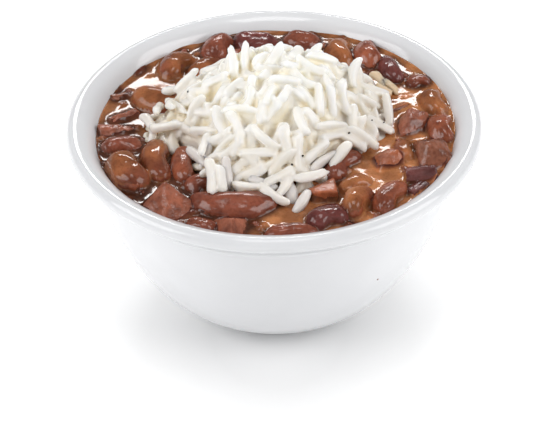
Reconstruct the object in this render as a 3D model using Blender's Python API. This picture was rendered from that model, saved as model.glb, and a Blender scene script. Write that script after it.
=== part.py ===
"""Red beans and rice in a rolled-lip china bowl.

The bowl is turned from one profile. The gravy fills it to a slightly sloping level, with a
pocket round each bean and each piece of meat. The rice is one heap, out to its uneven outline,
that sits on the gravy and over the beans at its foot. Lengths are in millimetres until a mesh is
made; Z is up, and the origin is on the table under the middle of the bowl. The diner sits on the
-Y side.
"""

import math

import bmesh
import bpy
from mathutils import Matrix, Vector, noise

MM = 0.001
SEGMENTS = 40  # round the bowl
GAP = 0.3  # between neighbouring pieces

# Bowl
LIP_RADIUS = 57.7  # to the middle of the rolled lip
LIP_ROLL = 2.3  # radius of the roll itself
LIP_HEIGHT = 56.5  # of the roll's middle above the table
NECK_RADIUS = 54.4  # of the wall just under the lip
NECK_DROP = 6.8  # of that place below the roll's middle
WALL = 3.8
BELLY = ((53.0, 37.0), (43.5, 8.5))  # control points (radius, height) of the outside below the neck
FLARE = (51.7, 53.5)  # control point of the inside just below the lip
BEAD = 0.4  # raised line round the neck
FOOT_RADIUS = 28.0
FOOT_WIDTH = 3.2
FOOT_HEIGHT = 1.6
FLOOR_TOP = 6.0  # of the inside of the bowl above the table

# Gravy
GRAVY_DROP = 3.0  # of the level below the roll's middle, at the middle of the bowl
GRAVY_SLOPE = (0.012, 0.018)  # rise to the right and to the back
GRAVY_RINGS = (44.0, 34.0, 22.0, 10.0, 0.0)  # radii of the rings of its top
GRAVY_EDGE = 2.5  # depth over which its wall is left out, since its top edge covers that

# Rice
HEAP_MIDDLE = (-1.5, 1.0)
HEAP_EDGE = 2.2  # height of the blunt edge, about one grain
HEAP_HEIGHT = 24.0
HEAP_FALL = 1.7  # how full the dome is: 1 is a cone, 2 is close to a round dome
HEAP_LEAN = (3.0, 5.0)  # of the peak to the right and to the back
HEAP_LUMPS = (0.9, 6.0)  # height and width of the lumps on it
HEAP_SPOKES = 36
HEAP_RINGS = 7
# From the middle to the outline, every 30 degrees from +X towards +Y
HEAP_REACH = (35.5, 36.0, 34.0, 34.0, 34.0, 32.0, 34.0, 25.5, 33.0, 29.0, 28.5, 27.5)

# A bean is 8 facets round and 5 along. Its thickness is a share of its width, and its shoulders
# are fatter than an ellipsoid's by a share.
BEAN_FACETS = (8, 5)
BEAN_THICKNESS = 0.88
BEAN_SHOULDERS = 0.10

# Each bean: x, y, length, width, heading in degrees from +X, rise of its top above the gravy,
# bend of its middle
BEANS = (
    (-41.7, -18.3, 16.0, 9.6, 115, 4.0, 0.5),
    (-44.0, -5.2, 12.0, 7.5, 5, 2.2, 0.6),
    (-33.4, -13.5, 17.5, 7.8, 97, 3.2, 0.4),
    (-25.8, -16.0, 14.5, 6.2, 93, 3.0, 0.4),
    (-20.8, -25.0, 9.0, 7.0, 20, 2.4, 0.3),
    (-11.4, -33.5, 23.5, 9.8, 177, 3.2, 1.6),
    (-20.5, -43.0, 8.0, 5.5, 160, 1.6, 0.2),
    (4.0, -47.0, 13.5, 5.5, 2, 1.6, 0.3),
    (14.2, -41.2, 11.0, 7.6, 20, 2.8, 0.3),
    (19.0, -17.5, 14.0, 7.5, 55, 2.8, 0.3),
    (22.5, -26.5, 9.5, 6.0, 40, 1.2, 0.2),
    (31.8, -34.0, 13.5, 6.6, 62, 3.4, 0.4),
    (23.0, -35.8, 11.5, 7.0, 58, 3.4, 0.4),
    (37.0, -11.5, 9.0, 5.8, 100, 1.4, 0.2),
    (48.2, -2.0, 12.0, 7.2, 92, 3.2, 0.3),
    (47.3, 11.0, 12.0, 7.0, 103, 2.6, 0.4),
    (43.3, 22.4, 7.5, 5.5, 15, 2.0, 0.3),
    (35.4, 29.3, 13.0, 6.0, 103, 2.8, 0.3),
    (29.0, 37.3, 12.5, 7.6, 97, 3.4, 0.3),
    (20.8, 39.5, 13.0, 8.0, 100, 2.4, 0.4),
    (9.0, 46.5, 10.5, 8.0, 160, 3.0, 0.3),
    (-5.5, 46.0, 13.5, 8.4, 170, 3.4, 0.4),
    (-16.6, 43.2, 12.0, 8.2, 75, 4.0, 0.4),
    (-10.5, 39.0, 7.0, 5.5, 80, 2.0, 0.2),
    (-29.6, 34.5, 13.0, 8.5, 65, 3.0, 0.4),
    (-20.3, 32.8, 12.0, 7.5, 50, 2.6, 0.4),
    (-34.3, 16.0, 15.5, 9.0, 152, 3.8, 0.4),
)

# A piece of meat is a block whose corners are rounded by this power: 2 is a ball, more is squarer.
MEAT_POWER = 5
MEAT_FILL = 0.95  # share of its length, width and thickness that the block reaches
MEAT_LUMPS = (0.07, 1.3)  # height and how many there are along it

# Each piece of meat: x, y, length, width, thickness, heading, rise, tilt about its length in degrees
MEATS = (
    (-29.3, -33.5, 14.0, 10.5, 10.0, 125, 5.2, 14),
    (-12.3, -44.6, 8.5, 7.0, 7.5, 100, 3.4, 10),
    (13.2, -29.5, 7.5, 7.0, 7.0, 10, 2.6, 8),
    (31.0, -17.0, 9.5, 7.0, 7.0, 30, 2.4, -15),
    (39.5, -0.2, 10.5, 8.5, 7.5, 75, 3.6, 12),
    (44.0, -14.0, 15.5, 4.6, 8.0, 104, 3.6, 25),
    (41.0, -23.7, 8.2, 4.6, 6.0, 10, 2.8, -10),
    (39.2, -29.4, 5.6, 3.8, 5.0, 45, 1.4, 10),
    (-44.3, 9.0, 8.0, 4.6, 5.0, 35, 1.8, 10),
    (-44.6, 2.4, 10.5, 3.8, 4.6, 25, 2.2, 10),
)


def arc(middle, radius, start, end, steps):
    """Points (r, z) along a circle, from one angle to another in degrees."""
    angles = [math.radians(start + (end - start) * i / steps) for i in range(steps + 1)]
    return [(middle[0] + radius * math.cos(a), middle[1] + radius * math.sin(a)) for a in angles]


def bezier(corners, steps):
    """Points (r, z) along the Bezier curve of these control points."""
    points = []
    for i in range(steps + 1):
        left = [Vector(corner) for corner in corners]
        while len(left) > 1:
            left = [a.lerp(b, i / steps) for a, b in zip(left, left[1:])]
        points.append(tuple(left[0]))
    return points


def outer_wall(steps=7):
    """The wall's outside, from the neck under the lip down to the foot."""
    neck = (NECK_RADIUS, LIP_HEIGHT - NECK_DROP)
    foot = (FOOT_RADIUS + 1.0, FOOT_HEIGHT + 0.5)
    return bezier((neck, *BELLY, foot), steps)


def inner_wall():
    """The wall's inside, from the edge of the floor up to the lip.

    It is the outside moved in by the wall, then a flare.
    """
    outside = outer_wall()
    points = []
    for before, here, after in zip(outside, outside[1:], outside[2:]):
        along = (Vector(after) - Vector(before)).normalized()
        points.append((here[0] + along.y * WALL, here[1] - along.x * WALL))
    neck = (NECK_RADIUS - WALL, LIP_HEIGHT - NECK_DROP)
    flare = bezier((neck, FLARE, (LIP_RADIUS - LIP_ROLL, LIP_HEIGHT)), 4)
    return points[::-1] + flare[:-1]


def bowl_profile():
    """From the middle of the floor up the inside, over the lip, down the outside and under the foot."""
    lip = arc((LIP_RADIUS, LIP_HEIGHT), LIP_ROLL, 180, -90, 9)
    neck = LIP_HEIGHT - NECK_DROP
    under_lip = [(NECK_RADIUS + 0.7, neck + 2.9), (NECK_RADIUS + 0.1, neck + 1.6)]
    bead = [(NECK_RADIUS + BEAD, neck + 0.8)]
    foot = [
        (FOOT_RADIUS + 0.2, FOOT_HEIGHT),
        (FOOT_RADIUS, 0.0),
        (FOOT_RADIUS - FOOT_WIDTH, 0.0),
        (FOOT_RADIUS - FOOT_WIDTH - 0.4, FOOT_HEIGHT),
        (0.0, FOOT_HEIGHT),
    ]
    return [(0.0, FLOOR_TOP)] + inner_wall() + lip + under_lip + bead + outer_wall() + foot


def wall_radius(height):
    """Radius of the bowl's inside at this height."""
    wall = inner_wall() + [(LIP_RADIUS - LIP_ROLL, LIP_HEIGHT)]
    for (r0, z0), (r1, z1) in zip(wall, wall[1:]):
        if z0 <= height <= z1:
            return r0 + (r1 - r0) * (height - z0) / (z1 - z0)
    return wall[0][0]


def gravy_level(x, y):
    """Height of the gravy at a place: it lies a little higher to the right and to the back."""
    return LIP_HEIGHT - GRAVY_DROP + GRAVY_SLOPE[0] * x + GRAVY_SLOPE[1] * y


def plain_material(name, colour, roughness):
    material = bpy.data.materials.new(name)
    material.use_nodes = True
    shader = material.node_tree.nodes["Principled BSDF"]
    shader.inputs["Base Color"].default_value = (*colour, 1.0)
    shader.inputs["Roughness"].default_value = roughness
    shader.inputs["Metallic"].default_value = 0.0
    return material


def object_from(mesh, name, material, collection=None):
    """Turns a bmesh in millimetres into an object in metres."""
    bmesh.ops.scale(mesh, vec=(MM, MM, MM), verts=mesh.verts)
    bmesh.ops.recalc_face_normals(mesh, faces=mesh.faces)
    data = bpy.data.meshes.new(name)
    mesh.to_mesh(data)
    mesh.free()
    data.shade_smooth()
    data.set_sharp_from_angle(angle=math.radians(50))
    data.materials.append(material)
    made = bpy.data.objects.new(name, data)
    (collection or bpy.context.scene.collection).objects.link(made)
    return made


def turned(profile):
    """A closed bmesh turned round the Z axis from a profile whose ends are on the axis."""
    mesh = bmesh.new()
    points = [mesh.verts.new((r, 0.0, z)) for r, z in profile]
    edges = [mesh.edges.new(pair) for pair in zip(points, points[1:])]
    bmesh.ops.spin(
        mesh, geom=points + edges, cent=(0, 0, 0), axis=(0, 0, 1), angle=2 * math.pi, steps=SEGMENTS
    )
    bmesh.ops.remove_doubles(mesh, verts=mesh.verts, dist=0.01)
    return mesh


def make_bowl():
    china = plain_material("white_china", (0.86, 0.87, 0.88), 0.12)
    return object_from(turned(bowl_profile()), "bowl", china)


def make_gravy():
    """Fills the bowl. Its top is turned flat first, then lifted to the level at each place."""
    level = LIP_HEIGHT - GRAVY_DROP
    wall = [(r - GAP, z + GAP * 0.6) for r, z in inner_wall() if z < level - GRAVY_EDGE]
    top = [(wall_radius(level) - GAP, level)] + [(r, level) for r in GRAVY_RINGS]
    mesh = turned([(0.0, FLOOR_TOP + GAP)] + wall + top)
    for vertex in mesh.verts:
        if vertex.co.z < level - 0.1:
            continue
        vertex.co.z = gravy_level(vertex.co.x, vertex.co.y)
        radius = vertex.co.xy.length
        if radius > GRAVY_RINGS[0] + 1.0:
            vertex.co.xy *= (wall_radius(vertex.co.z) - GAP) / radius
    brown = plain_material("brown_gravy", (0.24, 0.095, 0.035), 0.15)
    return object_from(mesh, "gravy", brown)


def heap_reach(angle):
    """Distance from the heap's middle to its uneven outline, eased from one named reach to the next."""
    step = 2 * math.pi / len(HEAP_REACH)
    place = (angle / step) % len(HEAP_REACH)
    before = int(place)
    ease = 0.5 - 0.5 * math.cos(math.pi * (place - before))
    after = (before + 1) % len(HEAP_REACH)
    return HEAP_REACH[before] * (1 - ease) + HEAP_REACH[after] * ease


def make_rice():
    """The heap: rings of points from its blunt edge up to its peak, over a base that follows the gravy."""
    mesh = bmesh.new()
    rings = []
    lump_height, lump_width = HEAP_LUMPS
    for ring in range(-1, HEAP_RINGS):
        share = min(1.0, 1.0 - ring / HEAP_RINGS)
        rings.append([])
        for spoke in range(HEAP_SPOKES):
            angle = 2 * math.pi * spoke / HEAP_SPOKES
            reach = share * heap_reach(angle)
            x = HEAP_MIDDLE[0] + reach * math.cos(angle) + HEAP_LEAN[0] * (1 - share)
            y = HEAP_MIDDLE[1] + reach * math.sin(angle) + HEAP_LEAN[1] * (1 - share)
            height = gravy_level(x, y) + GAP
            if ring >= 0:
                dome = (1 - share**HEAP_FALL) * (HEAP_HEIGHT - HEAP_EDGE)
                lump = lump_height * noise.noise(Vector((x, y, 0.0)) / lump_width)
                height += HEAP_EDGE + dome + lump
            rings[-1].append(mesh.verts.new((x, y, height)))
    for lower, upper in zip(rings, rings[1:]):
        for i in range(HEAP_SPOKES):
            j = (i + 1) % HEAP_SPOKES
            mesh.faces.new((lower[i], lower[j], upper[j], upper[i]))
    top = LIP_HEIGHT - GRAVY_DROP + HEAP_HEIGHT
    peak = mesh.verts.new((HEAP_MIDDLE[0] + HEAP_LEAN[0], HEAP_MIDDLE[1] + HEAP_LEAN[1], top))
    base = mesh.verts.new((*HEAP_MIDDLE, gravy_level(*HEAP_MIDDLE) + GAP))
    for i in range(HEAP_SPOKES):
        j = (i + 1) % HEAP_SPOKES
        mesh.faces.new((rings[-1][i], rings[-1][j], peak))
        mesh.faces.new((rings[0][j], rings[0][i], base))
    rice = plain_material("cooked_rice", (0.84, 0.81, 0.70), 0.45)
    return object_from(mesh, "rice_mound", rice)


def bean_mesh(length, width, bend):
    """A kidney bean lying along X: a fattened ellipsoid whose middle is bent sideways."""
    mesh = bmesh.new()
    bmesh.ops.create_uvsphere(mesh, u_segments=BEAN_FACETS[0], v_segments=BEAN_FACETS[1], radius=1.0)
    bmesh.ops.rotate(mesh, matrix=Matrix.Rotation(math.pi / 2, 3, "Y"), verts=mesh.verts)
    for vertex in mesh.verts:
        along, side, up = vertex.co
        fat = 1.0 + BEAN_SHOULDERS * (1 - abs(along)) * abs(along) * 4
        vertex.co = (
            along * length / 2,
            side * fat * width / 2 + bend * (1 - 2 * along**2),
            up * fat * width * BEAN_THICKNESS / 2,
        )
    return mesh


def meat_mesh(length, width, thickness, seed):
    """A cut chunk: a block with its corners rounded off and its sides a little uneven."""
    mesh = bmesh.new()
    bmesh.ops.create_cube(mesh, size=2.0)
    bmesh.ops.subdivide_edges(mesh, edges=mesh.edges, cuts=1, use_grid_fill=True)
    lump_height, lump_count = MEAT_LUMPS
    apart = Vector((seed * 7.1, 0, 0))  # so that no two pieces have the same lumps
    for vertex in mesh.verts:
        corner = sum(abs(part) ** MEAT_POWER for part in vertex.co) ** (1 / MEAT_POWER)
        rounded = vertex.co / corner
        uneven = 1.0 + lump_height * noise.noise(rounded * lump_count + apart)
        half = rounded * uneven * MEAT_FILL / 2
        vertex.co = (half.x * length, half.y * width, half.z * thickness)
    return mesh


def lay(mesh, x, y, thickness, heading, rise, tilt=0.0):
    """Turns a piece and puts it in the gravy with its top this far above the level."""
    turn = Matrix.Rotation(math.radians(heading), 4, "Z")
    turn = turn @ Matrix.Rotation(math.radians(tilt), 4, "X")
    middle = gravy_level(x, y) + rise - thickness / 2
    place = Matrix.Translation((x, y, middle))
    bmesh.ops.transform(mesh, matrix=place @ turn, verts=mesh.verts)


def make_bean(name, row, extra, material, collection=None):
    """One bean of the table, larger by an extra all round."""
    x, y, length, width, heading, rise, bend = row
    mesh = bean_mesh(length + 2 * extra, width + 2 * extra, bend)
    lay(mesh, x, y, width * BEAN_THICKNESS, heading, rise)
    object_from(mesh, name, material, collection)


def make_meat(name, row, extra, seed, material, collection=None):
    """One piece of meat of the table, larger by an extra all round."""
    x, y, length, width, thickness, heading, rise, tilt = row
    mesh = meat_mesh(length + 2 * extra, width + 2 * extra, thickness + 2 * extra, seed)
    lay(mesh, x, y, thickness, heading, rise, tilt)
    object_from(mesh, name, material, collection)


def make_pieces(cutters):
    """Every bean and every piece of meat, each with a cutter that is larger by the gap."""
    skin = plain_material("bean_skin", (0.23, 0.065, 0.04), 0.2)
    ham = plain_material("smoked_meat", (0.33, 0.11, 0.06), 0.25)
    for number, row in enumerate(BEANS, start=1):
        make_bean(f"bean_{number:02d}", row, 0.0, skin)
        make_bean(f"bean_cut_{number:02d}", row, GAP, skin, cutters)
    for number, row in enumerate(MEATS, start=1):
        make_meat(f"meat_{number:02d}", row, 0.0, number, ham)
        make_meat(f"meat_cut_{number:02d}", row, GAP, number, ham, cutters)


def cut_pockets(body, cutters):
    """Cuts the pocket of every bean and piece of meat out of a body."""
    pockets = body.modifiers.new("pockets", "BOOLEAN")
    pockets.operation = "DIFFERENCE"
    pockets.solver = "EXACT"
    pockets.operand_type = "COLLECTION"
    pockets.collection = cutters


def main():
    for old in list(bpy.data.objects):
        bpy.data.objects.remove(old)
    cutters = bpy.data.collections.new("cutters")
    bpy.context.scene.collection.children.link(cutters)
    make_bowl()
    gravy = make_gravy()
    rice = make_rice()
    make_pieces(cutters)
    for cutter in cutters.objects:
        cutter.hide_render = True
        cutter.display_type = "WIRE"
    cut_pockets(gravy, cutters)
    cut_pockets(rice, cutters)


main()
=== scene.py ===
"""Red beans and rice: a rolled-lip china bowl of brown gravy, full of kidney beans and pieces of
smoked meat, with a heap of white long-grain rice in the middle.

Lengths in the sections below are in millimetres. Z is up, the origin is on the table under the
middle of the bowl, and the diner sits on the -Y side.
"""

import math

import bmesh
import bpy
import numpy as np
from mathutils import Matrix, Vector


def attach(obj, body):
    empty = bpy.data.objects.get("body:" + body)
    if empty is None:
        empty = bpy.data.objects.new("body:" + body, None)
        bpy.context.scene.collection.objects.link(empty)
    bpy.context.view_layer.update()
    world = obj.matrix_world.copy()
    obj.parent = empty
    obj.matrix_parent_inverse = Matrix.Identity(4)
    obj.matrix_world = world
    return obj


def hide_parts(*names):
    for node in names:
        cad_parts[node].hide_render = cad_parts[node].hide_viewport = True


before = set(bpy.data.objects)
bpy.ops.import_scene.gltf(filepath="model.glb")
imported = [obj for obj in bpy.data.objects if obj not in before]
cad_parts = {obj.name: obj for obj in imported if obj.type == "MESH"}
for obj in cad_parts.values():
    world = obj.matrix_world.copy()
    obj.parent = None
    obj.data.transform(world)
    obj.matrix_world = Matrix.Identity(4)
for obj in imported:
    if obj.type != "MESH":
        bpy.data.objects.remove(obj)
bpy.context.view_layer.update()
MM = 0.001


# The bowl. White glazed china, turned on a wheel: a rolled lip, a thin raised line under it, a
# belly that narrows to a foot ring, and a clear hard glaze that shows soft lights.

LIP_RADIUS = 57.7  # to the middle of the roll
LIP_ROLL = 2.3
LIP_HEIGHT = 56.5  # of the middle of the roll
WALL = 3.8
FLOOR_TOP = 6.0
OUTSIDE = ((54.4, 49.4), (53.0, 37.0), (43.5, 8.5), (29.0, 2.1))
INSIDE_LIP = ((50.6, 49.7), (51.6, 54.0), (53.2, 57.2), (56.4, 58.4))


def bezier(corners, steps):
    """Points along a Bezier curve: neighbours of its control points are mixed until one is left."""
    t = np.linspace(0, 1, steps + 1)[:, None]
    points = [np.array(corner, float)[None] for corner in corners]
    while len(points) > 1:
        points = [a * (1 - t) + b * t for a, b in zip(points, points[1:])]
    return points[0]


def closed_skins(name, rings, tips=None):
    """One object of closed skins. Each skin is rings of points, and a tip point closes each end.

    rings is skins x rings x points x 3 and tips is skins x 2 x 3, in millimetres; without tips, the
    middles of the end rings are used. The faces are turned outwards by the sign of the volume of
    the first skin.
    """
    skins, count, around, _ = rings.shape
    if tips is None:
        tips = np.stack([rings[:, 0].mean(1), rings[:, -1].mean(1)], 1)
    points = np.concatenate([rings.reshape(skins, -1, 3), tips], axis=1)
    ring = np.arange(count - 1)[:, None] * around
    side = np.arange(around)[None]
    after = (side + 1) % around
    quads = np.stack([ring + side, ring + after, ring + around + after, ring + around + side], -1)
    last = (count - 1) * around
    tip = np.full(around, count * around)
    start = np.stack([side[0], tip, after[0], after[0]], -1)
    end = np.stack([last + side[0], last + after[0], tip + 1, tip + 1], -1)
    volume = 0.0
    for faces in (quads.reshape(-1, 4), start, end):
        a, b, c, d = (points[0][faces[:, i]] for i in range(4))
        volume += np.einsum("ij,ij->", a, np.cross(b, c)) + np.einsum("ij,ij->", a, np.cross(c, d))
    step = np.arange(skins)[:, None, None] * (count * around + 2)
    loops = []
    for faces in (quads.reshape(-1, 4), start[:, :3], end[:, :3]):
        outwards = faces[:, ::-1] if volume < 0 else faces
        loops.append((outwards[None] + step).reshape(-1, faces.shape[1]))
    mesh = bpy.data.meshes.new(name)
    mesh.vertices.add(skins * (count * around + 2))
    mesh.vertices.foreach_set("co", (points * MM).astype(np.float32).ravel())
    corners = np.concatenate([part.ravel() for part in loops])
    sizes = np.concatenate([np.full(len(part), part.shape[1]) for part in loops])
    mesh.loops.add(len(corners))
    mesh.loops.foreach_set("vertex_index", corners.astype(np.int32))
    mesh.polygons.add(len(sizes))
    mesh.polygons.foreach_set("loop_start", (np.cumsum(sizes) - sizes).astype(np.int32))
    mesh.update(calc_edges=True)
    mesh.validate()
    mesh.shade_smooth()
    made = bpy.data.objects.new(name, mesh)
    bpy.context.scene.collection.objects.link(made)
    return made


def full_turn(count):
    """This many even steps of angle round a circle."""
    return np.linspace(0, 2 * np.pi, count, endpoint=False)


def stacked(*parts):
    """Points from arrays of their x, y and z, of any shapes that fit together."""
    return np.stack(np.broadcast_arrays(*parts), -1)


def turned(name, profile, around):
    """Turns a profile (r, z) whose two ends are on the axis: (r cos a, r sin a, z) at angle a."""
    angle = full_turn(around)
    radius, height = profile[1:-1, 0, None], profile[1:-1, 1, None]
    rings = stacked(radius * np.cos(angle), radius * np.sin(angle), height)
    tips = np.array([[0, 0, profile[0, 1]], [0, 0, profile[-1, 1]]])
    return closed_skins(name, rings[None], tips[None])


def inner_wall():
    """The inside of the bowl, (radius, height) from the edge of the floor up to the lip.

    It is the outside, moved in by WALL at right angles to itself, and then the curve INSIDE_LIP.
    """
    outside = bezier(OUTSIDE, 40)
    along = np.gradient(outside, axis=0)
    along /= np.linalg.norm(along, axis=1)[:, None]
    inside = outside + WALL * np.stack([along[:, 1], -along[:, 0]], -1)
    inside = inside[(inside[:, 1] < INSIDE_LIP[0][1] - 1.0) & (inside[:, 1] > FLOOR_TOP)]
    return np.concatenate([inside[::-1], bezier(INSIDE_LIP, 12)])


def bowl_profile():
    """From the middle of the floor up the inside, over the lip and down the outside to the foot."""
    angle = np.radians(np.linspace(112, -90, 30))[:, None]
    roll = np.array([LIP_RADIUS, LIP_HEIGHT]) + LIP_ROLL * np.hstack([np.cos(angle), np.sin(angle)])
    under = bezier(((57.7, 54.2), (56.3, 54.1), (55.0, 53.4), (54.75, 51.9)), 8)[1:]
    groove = bezier(((54.75, 51.9), (54.6, 51.2), (54.95, 50.9), (54.85, 50.4)), 8)[1:]
    line = bezier(((54.85, 50.4), (54.75, 49.9), (54.5, 49.9), (54.4, 49.4)), 6)[1:]
    foot = bezier(((29.0, 2.1), (28.4, 1.6), (28.2, 0.9), (27.6, 0.0)), 5)[1:]
    ring = np.array([(25.2, 0.0), (24.8, 0.3), (24.5, 1.5), (0.0, 1.6)])
    floor = np.array([(0.0, FLOOR_TOP), (20.0, FLOOR_TOP)])
    parts = (floor, inner_wall(), roll, under, groove, line, bezier(OUTSIDE, 40)[1:], foot, ring)
    return np.concatenate(parts)


class Shader:
    """A material's nodes, made and linked by name so that a section reads as a recipe."""

    def __init__(self, name):
        self.material = bpy.data.materials.new(name)
        self.material.use_nodes = True
        self.tree = self.material.node_tree
        self.surface = self.tree.nodes["Principled BSDF"]

    def set(self, node=None, **values):
        """Sets the inputs of a node, the surface's own by default: underscores stand for spaces."""
        for key, value in values.items():
            (node or self.surface).inputs[key.replace("_", " ")].default_value = value

    def node(self, kind, own=None, **values):
        """A new node, with its own settings and the values of its inputs."""
        made = self.tree.nodes.new("ShaderNode" + kind)
        for key, value in (own or {}).items():
            setattr(made, key, value)
        self.set(made, **values)
        return made

    def link(self, source, target):
        self.tree.links.new(source, target)

    def mark(self, name):
        """The number that is stored under this name on each point of the mesh."""
        return self.node("Attribute", {"attribute_name": name}).outputs["Fac"]

    def noise(self, size, detail=3.0):
        """Noise in the object's own space; size is that of its lumps in millimetres."""
        made = self.node("TexNoise", Scale=1 / (size * MM), Detail=detail)
        self.link(self.node("TexCoord").outputs["Object"], made.inputs["Vector"])
        return made.outputs["Fac"]

    def ramp(self, value, *stops):
        """A colour ramp: each stop is (place, colour)."""
        made = self.node("ValToRGB")
        ramp = made.color_ramp
        while len(ramp.elements) < len(stops):
            ramp.elements.new(1.0)
        for element, (place, colour) in zip(ramp.elements, stops):
            element.position = place
            element.color = (*colour, 1.0)
        self.link(value, made.inputs["Fac"])
        return made.outputs["Color"]

    def mix(self, share, first, second, blend="MIX"):
        """Mixes two colours by a share, which is a number or a node's output."""
        made = self.node("Mix", {"data_type": "RGBA", "blend_type": blend})
        for value, number in ((share, 0), (first, 6), (second, 7)):
            if isinstance(value, bpy.types.NodeSocket):
                self.link(value, made.inputs[number])
            else:
                made.inputs[number].default_value = value if number == 0 else (*value, 1.0)
        return made.outputs[2]

    def colour(self, source):
        self.link(source, self.surface.inputs["Base Color"])

    def glow(self, weight, red_green_blue, reach):
        """Light that spreads inside: its share, how far each colour goes, and the reach in mm."""
        self.set(Subsurface_Weight=weight, Subsurface_Scale=reach * MM)
        self.set(Subsurface_Radius=red_green_blue)

    def bump(self, height, depth, onto=None):
        """Roughens the surface by a height; depth is in millimetres."""
        made = self.node("Bump", Distance=depth * MM)
        self.link(height, made.inputs["Height"])
        if onto:
            self.link(onto, made.inputs["Normal"])
        self.link(made.outputs["Normal"], self.surface.inputs["Normal"])
        return made.outputs["Normal"]


bowl = turned("china_bowl", bowl_profile(), 288)
china = Shader("white_china")
china.set(Roughness=0.09, IOR=1.5)
pale, paler = (0.73, 0.737, 0.755), (0.75, 0.757, 0.774)
china.colour(china.ramp(china.noise(14), (0.35, pale), (0.65, paler)))
china.bump(china.noise(16, 1.0), 0.012)
bowl.data.materials.append(china.material)
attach(bowl, "root")
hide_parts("bowl")


# The beans. Small red kidney beans, cooked soft: glossy thin skins from orange-brown to dark
# purple, finely wrinkled, lying half sunk in the gravy as the solids of the frame lie.

SWELL = 1.10  # size of a cooked bean as a share of its solid in the frame
END_POWER = 2.6  # the higher it is, the blunter the ends
DENT = 0.36  # depth and half length of the dent in the hollow side, as shares of the bean's own
LUMPS = (0.34, 6.5)  # height and size of a bean's unevenness
WRINKLES = (0.05, 1.7)  # height and size of its wrinkles, where it is fully wrinkled
FOLDS = (0.16, 3.6)  # depth of the folds of its skin, and the distance between them
RED = (0.225, 0.065, 0.037)
ORANGE = (0.32, 0.095, 0.05)
PURPLE = (0.155, 0.043, 0.037)
BROWN = (0.27, 0.077, 0.038)
# The colour of each bean from bean_01 on, and how wrinkled it is.
BEANS = (
    (BROWN, 0.8), (RED, 1.0), (BROWN, 0.6), (BROWN, 0.5), (RED, 0.5), (RED, 0.8), (RED, 1.0),
    (RED, 1.0), (PURPLE, 0.9), (RED, 0.9), (BROWN, 0.8), (BROWN, 1.0), (BROWN, 0.8), (RED, 0.8),
    (BROWN, 0.6), (BROWN, 0.8), (RED, 1.0), (PURPLE, 0.7), (ORANGE, 0.4), (BROWN, 0.6), (RED, 1.0),
    (PURPLE, 1.2), (RED, 0.9), (RED, 0.7), (RED, 0.6), (BROWN, 0.8), (BROWN, 0.9),
)


def waves(points, size, seed, count=28):
    """Smooth unevenness at each point: a sum of sine waves of about this size in all directions."""
    chance = np.random.default_rng(seed)
    ways = chance.normal(size=(count, points.shape[-1]))
    rate = 2 * np.pi / size * chance.uniform(0.6, 1.5, count)
    ways *= (rate / np.linalg.norm(ways, axis=1))[:, None]
    start = chance.uniform(0, 2 * np.pi, count)
    return np.sin(points @ ways.T + start).sum(-1) * (0.7 / count**0.5)


def roughened(start, points, lumps, seed):
    """The start with height * waves(points, size) added for each (height, size) of the lumps."""
    for number, (height, size) in enumerate(lumps):
        start = start + height * waves(points, size, seed + number)
    return start


def corners_of(node):
    """The corner points of a node of the frame, in millimetres."""
    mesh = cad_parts[node].data
    points = np.empty(len(mesh.vertices) * 3, np.float32)
    mesh.vertices.foreach_get("co", points)
    return points.reshape(-1, 3).astype(float) / MM


class Place:
    """How a bean of the frame lies: its middle, the way of its length, its half sizes, its bend.

    The bend is half the rise of the parabola that fits its points best, seen from above.
    """

    def __init__(self, node):
        points = corners_of(node)
        flat = points[:, :2] - points[:, :2].mean(0)
        self.along = np.linalg.svd(flat, full_matrices=False)[2][0]
        self.along *= np.sign(self.along[0])
        self.across = np.array([-self.along[1], self.along[0]])
        u, v = flat @ self.along, flat @ self.across
        square, slope, level = np.polyfit(u, v, 2)
        half = (u.max() - u.min()) / 2
        shift = (u.max() + u.min()) / 2
        self.bend = -square * half**2 / 2
        middle = level + square * half**2 / 2
        spot = points[:, :2].mean(0) + self.along * shift + self.across * middle
        low, high = points[:, 2].min(), points[:, 2].max()
        width = np.abs(v - np.polyval((square, slope, level), u)).max()
        self.half = np.array([half, width, (high - low) / 2])
        self.middle = np.array([*spot, (low + high) / 2])


def bean_rings(place, wrinkles, seed, count=56, around=64):
    """A kidney bean: an ellipsoid with blunter ends, bent sideways, with wrinkles that run over it.

    A ring is at s = cos(t) of the half length, and its radius is (1 - |s|^END_POWER)^(1/2.1) of the
    half width and half thickness; the hollow side has a shallow dent in the middle.
    """
    t = (np.arange(count) + 0.5) / count * np.pi
    s = np.cos(t)[:, None]
    turn = full_turn(around)
    radius = (1 - np.abs(s) ** END_POWER) ** (1 / 2.1)
    side, up = np.cos(turn) * radius, np.sin(turn) * radius
    hollow = np.clip(-np.cos(turn) * np.sign(place.bend), 0, 1) ** 2
    dent = DENT * np.exp(-((s / DENT) ** 2)) * hollow
    grid = stacked(s, side * (1 - dent), up) * place.half * SWELL
    away = stacked(s * 0.4, side, up)
    away /= np.linalg.norm(away, axis=-1)[..., None] + 1e-9
    uneven = LUMPS[0] * waves(grid * (0.6, 1, 1), LUMPS[1], seed)
    uneven += WRINKLES[0] * wrinkles * waves(grid, WRINKLES[1], seed + 1)
    folds = 1 - np.abs(waves(grid * (0.5, 1, 1), FOLDS[1], seed + 2)) * 3
    grid = grid + away * (uneven - FOLDS[0] * wrinkles * np.clip(folds, 0, 1) ** 2)[..., None]
    grid[..., 1] += place.bend * (1 - 2 * s**2)
    ends = np.array([[place.half[0], -place.bend, 0], [-place.half[0], -place.bend, 0]])
    frame_of = np.array([[*place.along, 0], [*place.across, 0], [0, 0, 1]])
    return grid @ frame_of + place.middle, ends @ frame_of + place.middle


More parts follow.
